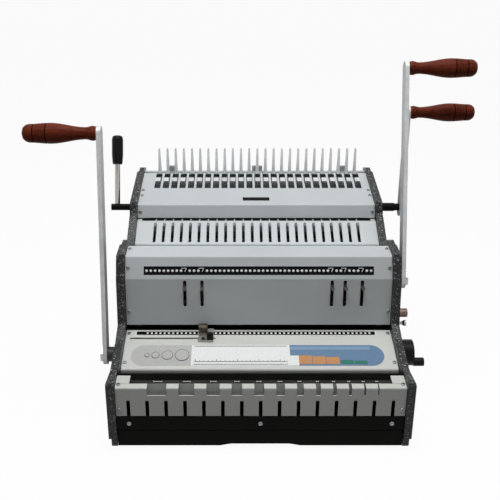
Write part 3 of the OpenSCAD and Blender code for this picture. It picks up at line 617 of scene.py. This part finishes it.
class BINDING_OT_size_label(bpy.types.Operator):
    """Print a plain coloured size scale on the coil paper table"""
    bl_idname = "binding.size_label"
    bl_label = "Size label"

    def execute(self, context):
        ink = inks()
        low = LABEL_LOW
        high = low + context.scene.binding_prints.scale_height / MM
        middle = (low + high) / 2
        end_r = (high - low) / 2 - LABEL_SEAM
        foot = low + BLOCK_FOOT
        blocks = [bar(x, x + BLOCK_WIDTH, foot, foot + tall) for x, tall in BLOCKS]
        lines = [bar(GREY_END + SCALE_MARGIN, BLUE_START - SCALE_MARGIN, s, s + LABEL_LINE)
                 for s in (*[low + rise for rise in SCALE_LINES], high - SCALE_TOP)]
        base = low + SCALE_LINES[1]
        for i, x in enumerate(range(GREY_END + TICK_PITCH, BLUE_START - SCALE_MARGIN, TICK_PITCH)):
            lines.append(bar(x, x + LABEL_LINE, base, base + (TICK_SHORT if i % 5 else TICK_LONG)))
        film("paper_table_label", Facet("table_front"), [
            (ink["grey"], [bar(LABEL_LEFT, GREY_END, low, high, end_r, 0)]),
            (ink["white"], [bar(GREY_END + LABEL_SEAM, BLUE_START - LABEL_SEAM, low, high)]),
            (ink["blue"], [bar(BLUE_START, LABEL_RIGHT, low, high, 0, end_r)]),
            (ink["white"], [bar(BLUE_START, BLOCKS[0][0], low, low + CORNER_HEIGHT)]),
            (ink["pale_blue"], [bar(BLUE_START, LABEL_RIGHT - end_r, high - STRIPE[0], high - STRIPE[1])]),
            (ink["orange"], blocks[:ORANGE_BLOCKS]),
            (ink["green"], blocks[ORANGE_BLOCKS:]),
            (ink["line"], lines),
            (ink["line"], [disc(x, middle, d, RING_STEPS) for x, d in RINGS]),
            (ink["grey"], [disc(x, middle, d - 2 * LABEL_LINE, RING_STEPS) for x, d in RINGS]),
        ])
        return {"FINISHED"}


# Blank plate on the opener's cover: half length, lower and upper edge, corners, rim, and the rim's rounder corners
PLATE_HALF = 22
PLATE_LOW, PLATE_HIGH = 12, 22
PLATE_R = 1
PLATE_RIM = 0.6
PLATE_RIM_R = 1.2


class BINDING_OT_badge(bpy.types.Operator):
    """Set a small blank black plate on the comb opener's cover"""
    bl_idname = "binding.badge"
    bl_label = "Blank plate"

    def execute(self, context):
        ink = inks()
        outer = PLATE_HALF + PLATE_RIM
        rim = bar(-outer, outer, PLATE_LOW - PLATE_RIM, PLATE_HIGH + PLATE_RIM, PLATE_RIM_R, PLATE_RIM_R)
        plate = bar(-PLATE_HALF, PLATE_HALF, PLATE_LOW, PLATE_HIGH, PLATE_R, PLATE_R)
        film("opener_blank_plate", Facet("opener_top"), [(ink["grey"], [rim]), (ink["black"], [plate])])
        return {"FINISHED"}


# Wooden grips and their bodies, and which way each reaches out from its arm
GRIPS = (("coil_grip", "coil_handle", -1), ("comb_grip", "comb_handle", 1), ("opener_grip", "opener_handle", 1))
# A grip is thickest at this share of its length, then loses GRIP_DROP on the way to its GRIP_DOME, in millimetres
GRIP_SWELL = 0.62
GRIP_DROP = 1.5
GRIP_DOME = 12
# Turned lines: share of the length, half width, and how far the band's edge and middle stand off the wood
GRIP_LINES = [(0.66, 0.85, -0.25, -0.55), (0.83, 0.85, -0.25, -0.55)] + [
    (share, 0.25, 0.04, 0.06) for share in (0.703, 0.745, 0.787)]
# How deep a line's band reaches below its middle
GRIP_BAND_DEEP = 0.6
GRIP_STEPS = 48


def grip_radius(a, length, largest):
    """Radius of a grip between its thickest place and its dome, a from its arm, all in millimetres."""
    swell = GRIP_SWELL * length
    t = (a - swell) / (length - GRIP_DOME - swell)
    return largest - GRIP_DROP * (1 - math.cos(math.pi * t)) / 2


def add_band(shape, start, side, profile):
    """A closed band turned about a grip's axis, round (along, radius) points in millimetres."""
    rings = [
        [shape.verts.new(start + Vector((side * a, r * math.cos(t), r * math.sin(t))) * MM)
         for t in turns(GRIP_STEPS)]
        for a, r in profile
    ]
    for lower, upper in next_pairs(rings):
        for face in join_rings(shape, lower, upper):
            face.smooth = True


class BINDING_OT_grip_lines(bpy.types.Operator):
    """Line the turned grooves of the wooden grips, with three fine lines between them"""
    bl_idname = "binding.grip_lines"
    bl_label = "Grip lines"

    def execute(self, context):
        char = charred_wood()
        for grip, body, side in GRIPS:
            low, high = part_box(grip)
            middle = (low + high) / 2
            start = Vector((low.x if side > 0 else high.x, middle.y, middle.z))
            length = (high.x - low.x) / MM
            largest = (high.z - low.z) / 2 / MM
            shape = bmesh.new()
            for share, half, edge, centre in GRIP_LINES:
                a = share * length
                r = grip_radius(a, length, largest)
                root = r + centre - GRIP_BAND_DEEP
                add_band(shape, start, side, [
                    (a - half, root), (a - half, r + edge), (a, r + centre), (a + half, r + edge), (a + half, root)])
            add_piece(grip + "_lines", shape, [char], body)
        return {"FINISHED"}


# Cover screws: facet, and how far up it in millimetres, one at each end
SCREW_SEATS = [
    ("opener_top", 28), ("opener_top", 45), ("opener_front", 10), ("coil_top", 22), ("coil_brow", 17),
    ("coil_front", 21), ("table_rear", 23), ("table_front", 13), ("tray_face", 10), ("tray_flange", 7.5),
    ("rear_face", 14), ("rear_face", 108), ("rear_face", 202),
]
SCREW_X = 190.3
SCREW_D = 5.6
SCREW_H = 1.6
SCREW_STEPS = 20
# Head's side view in shares of its diameter and height, the cross's half length and half width as shares of the
# diameter, and the height of its floor
SCREW_PROFILE = ((1.0, 0.0), (0.98, 0.35), (0.84, 0.75), (0.68, 0.9))
CROSS_LONG, CROSS_THIN = 0.3 * SCREW_D, 0.07 * SCREW_D
CROSS_FLOOR = 0.4


def cross_outline(x, s):
    """Outline of a cross recess: one arm's three corners, turned to each quarter."""
    arm = ((CROSS_LONG, -CROSS_THIN), (CROSS_LONG, CROSS_THIN), (CROSS_THIN, CROSS_THIN))
    quarters = ((1, 0), (0, 1), (-1, 0), (0, -1))
    return [(x + c * u - d * v, s + d * u + c * v) for c, d in quarters for u, v in arm]


def add_screw(shape, facet, x, s):
    """A domed head with a cross recess, standing on a facet; the recess is inked black as painted shade."""
    height = SCREW_H * MM
    rings = [
        facet.ring(shape, disc(x, s, SCREW_D * reach, SCREW_STEPS), height * rise)
        for reach, rise in SCREW_PROFILE
    ]
    shape.faces.new(rings[0][::-1])
    for lower, upper in zip(rings, rings[1:]):
        for face in join_rings(shape, lower, upper):
            face.smooth = True
    cross = cross_outline(x, s)
    top = SCREW_PROFILE[-1][1]
    floor, rim = facet.ring(shape, cross, height * CROSS_FLOOR), facet.ring(shape, cross, height * top)
    # The recess's floor and walls take the black ink: painted shade in the recess, which is the head's own steel
    for face in [shape.faces.new(floor)] + join_rings(shape, rim, floor):
        face.material_index = 1
    edges = [shape.edges.get(pair) for loop in (rings[-1], rim) for pair in next_pairs(loop)]
    bmesh.ops.triangle_fill(shape, use_beauty=True, edges=edges, normal=facet.normal)


class BINDING_OT_cover_screws(bpy.types.Operator):
    """Set a cross-recess screw at both ends of each cover"""
    bl_idname = "binding.cover_screws"
    bl_label = "Cover screws"

    def execute(self, context):
        shape = bmesh.new()
        for name, s in SCREW_SEATS:
            facet = Facet(name)
            for side in (-1, 1):
                add_screw(shape, facet, side * SCREW_X, s)
        # The second material is the black ink of the cross recesses, painted shade
        steel_and_painted_recess_shade = [bpy.data.materials["turned_machine_steel"], inks()["black"]]
        add_piece("cover_screws", shape, steel_and_painted_recess_shade, "frame")
        return {"FINISHED"}


# Lamps: name, place and aim in metres, edge in metres, power in watts
LAMPS = (
    ("overhead_softbox", (0, -0.3, 2.2), (0, -0.05, 0.2), 1.4, 38),
    ("front_fill", (-0.9, -2.2, 1.5), (0, 0, 0.2), 1.4, 0.5),
)
WHITE = opaque("#ffffff")
# How strongly the surroundings light the machine, and how much of the floor that is looked at glows by itself
WORLD_LIGHT = 0.06
FLOOR_GLOW = 0.95
FLOOR_SIZE = 80
SENSOR_WIDTH = 36


def area_lamp(name, location, aim, size, power):
    """A soft square lamp."""
    lamp = bpy.data.lights.new(name, "AREA")
    lamp.size = size
    lamp.energy = power
    holder = bpy.data.objects.new(name, lamp)
    holder.location = location
    holder.rotation_euler = (Vector(aim) - Vector(location)).to_track_quat("-Z", "Y").to_euler()
    bpy.context.scene.collection.objects.link(holder)


def looked_at(tree):
    """One where a camera, mirror or glass ray arrives, and nought where plain light does."""
    path = add_node(tree, "ShaderNodeLightPath")
    mirror = add_node(tree, "ShaderNodeMath", {
        0: path.outputs["Is Glossy Ray"], 1: path.outputs["Is Transmission Ray"]}, operation="MAXIMUM")
    return add_node(tree, "ShaderNodeMath", {
        0: path.outputs["Is Camera Ray"], 1: mirror.outputs[0]}, operation="MAXIMUM").outputs[0]


def pale_world():
    """Even pale surroundings: white where the camera or a reflection looks, gentle as light."""
    world = bpy.data.worlds.new("pale_surround")
    world.use_nodes = True
    tree = world.node_tree
    tree.nodes.clear()
    lit = add_node(tree, "ShaderNodeBackground", {"Color": WHITE, "Strength": WORLD_LIGHT})
    seen = add_node(tree, "ShaderNodeBackground", {"Color": WHITE, "Strength": 1.0})
    both = add_node(tree, "ShaderNodeMixShader", {0: looked_at(tree), 1: lit.outputs[0], 2: seen.outputs[0]})
    add_node(tree, "ShaderNodeOutputWorld", {"Surface": both.outputs[0]})
    bpy.context.scene.world = world


def pale_floor():
    """A white sweep that keeps a faint shadow."""
    bpy.ops.mesh.primitive_plane_add(size=FLOOR_SIZE, location=(0, 0, 0))
    floor = bpy.context.object
    floor.name = "studio_floor"
    material, tree, shader = new_surface("white_studio_paper", Roughness=0.9)
    seen = looked_at(tree)
    tint(tree, shader, seen, [(0, opaque("#6a6a6a")), (1, WHITE)])
    share = add_node(tree, "ShaderNodeMath", {0: seen, 1: FLOOR_GLOW}, operation="MULTIPLY")
    glow = add_node(tree, "ShaderNodeEmission", {"Color": WHITE, "Strength": 1.0})
    both = add_node(tree, "ShaderNodeMixShader", {0: share.outputs[0], 1: shader.outputs[0], 2: glow.outputs[0]})
    tree.links.new(both.outputs[0], tree.nodes["Material Output"].inputs["Surface"])
    floor.data.materials.append(material)


class BINDING_OT_stage(bpy.types.Operator):
    """Set up the pale studio and the camera"""
    bl_idname = "binding.stage"
    bl_label = "Studio"

    def execute(self, context):
        studio = context.scene.binding_studio
        pale_world()
        pale_floor()
        for lamp in LAMPS:
            area_lamp(*lamp)
        lens = bpy.data.cameras.new("photo_camera")
        lens.sensor_width = SENSOR_WIDTH
        lens.lens = studio.lens
        lens.shift_x = studio.shift
        eye = bpy.data.objects.new("photo_camera", lens)
        eye.location = (MIDDLE_X * MM + studio.eye_x, TRAY_FACE_Y * MM - studio.eye_back, studio.eye_high)
        eye.rotation_euler = (math.radians(90) - studio.pitch, 0, 0)
        context.scene.collection.objects.link(eye)
        context.scene.camera = eye
        context.scene.view_settings.view_transform = "Standard"
        return {"FINISHED"}


STEPS = (
    BINDING_OT_finishes, BINDING_OT_coil_bands, BINDING_OT_comb_ticks, BINDING_OT_gauge_marks, BINDING_OT_size_label,
    BINDING_OT_badge, BINDING_OT_grip_lines, BINDING_OT_cover_screws, BINDING_OT_stage,
)


class BINDING_PT_dressing(bpy.types.Panel):
    """Steps that dress the machine"""
    bl_idname = "BINDING_PT_dressing"
    bl_label = "Binding machine"
    bl_space_type = "VIEW_3D"
    bl_region_type = "UI"
    bl_category = "Binding"

    def draw(self, context):
        for step in STEPS:
            self.layout.operator(step.bl_idname)


SETTINGS = {
    "binding_finishes": BindingFinishes, "binding_prints": BindingPrints, "binding_studio": BindingStudio,
}


def register():
    for group in (*SETTINGS.values(), *STEPS, BINDING_PT_dressing):
        bpy.utils.register_class(group)
    for name, group in SETTINGS.items():
        setattr(bpy.types.Scene, name, bpy.props.PointerProperty(type=group))


def unregister():
    for name in SETTINGS:
        delattr(bpy.types.Scene, name)
    for group in (BINDING_PT_dressing, *reversed(STEPS), *reversed(SETTINGS.values())):
        bpy.utils.unregister_class(group)


def main():
    register()
    for step in STEPS:
        group, name = step.bl_idname.split(".")
        getattr(getattr(bpy.ops, group), name)()


if __name__ == "__main__":
    main()
